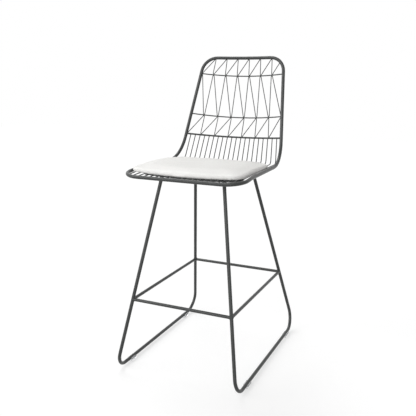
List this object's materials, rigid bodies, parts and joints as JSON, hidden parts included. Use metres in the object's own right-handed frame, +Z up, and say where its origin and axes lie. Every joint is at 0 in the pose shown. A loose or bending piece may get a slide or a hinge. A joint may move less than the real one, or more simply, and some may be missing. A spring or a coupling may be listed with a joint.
{
  "type": "counter stool",
  "caption": "Bent-rod counter stool with a saw-tooth wire back, wire seat, loose seat pad, sled legs with a footrest and clear glides.",
  "frame": {"origin": "on the floor, at the middle of the stool's overall length and width", "axes": "+Z up; the sitter faces -Y, so the back is towards +Y; +X is to the right seen from the front. Left and right in names are as seen from the front."},
  "size_m": [0.4382, 0.5739, 1.0193],
  "materials": {
    "frame": "satin powder coat, dark charcoal",
    "glide": "clear",
    "pad_cover": "matte, off-white",
    "pad_foam": "open foam"
  },
  "bodies": {
    "frame": {"seat_ring": "frame", "upper_back_rod": "frame", "middle_back_rod": "frame", "lower_back_rod": "frame", "top_lattice_wire": "frame", "middle_lattice_wire": "frame", "lower_lattice_wire": "frame", "seat_wire_01": "frame", "seat_wire_02": "frame", "seat_wire_03": "frame", "seat_wire_04": "frame", "seat_wire_05": "frame", "seat_wire_06": "frame", "seat_wire_07": "frame", "seat_wire_08": "frame", "seat_wire_09": "frame", "seat_wire_10": "frame", "seat_wire_11": "frame", "seat_wire_12": "frame", "seat_wire_13": "frame", "seat_wire_14": "frame", "seat_wire_15": "frame", "seat_wire_16": "frame", "seat_wire_17": "frame", "seat_wire_18": "frame", "seat_wire_19": "frame", "seat_wire_20": "frame", "front_bearer": "frame", "rear_bearer": "frame", "left_sled_leg": "frame", "right_sled_leg": "frame", "front_footrest": "frame", "rear_stretcher": "frame", "left_stretcher": "frame", "right_stretcher": "frame", "left_front_glide": "glide", "left_rear_glide": "glide", "right_front_glide": "glide", "right_rear_glide": "glide"},
    "pad": {"seat_pad_cover": "pad_cover", "seat_pad_foam": "pad_foam"}
  },
  "joints": [
    {"name": "pad_lift", "type": "slide", "parent": "frame", "child": "pad", "axis": [0, 0, 1], "range_m": [0, 0.4]}
  ]
}
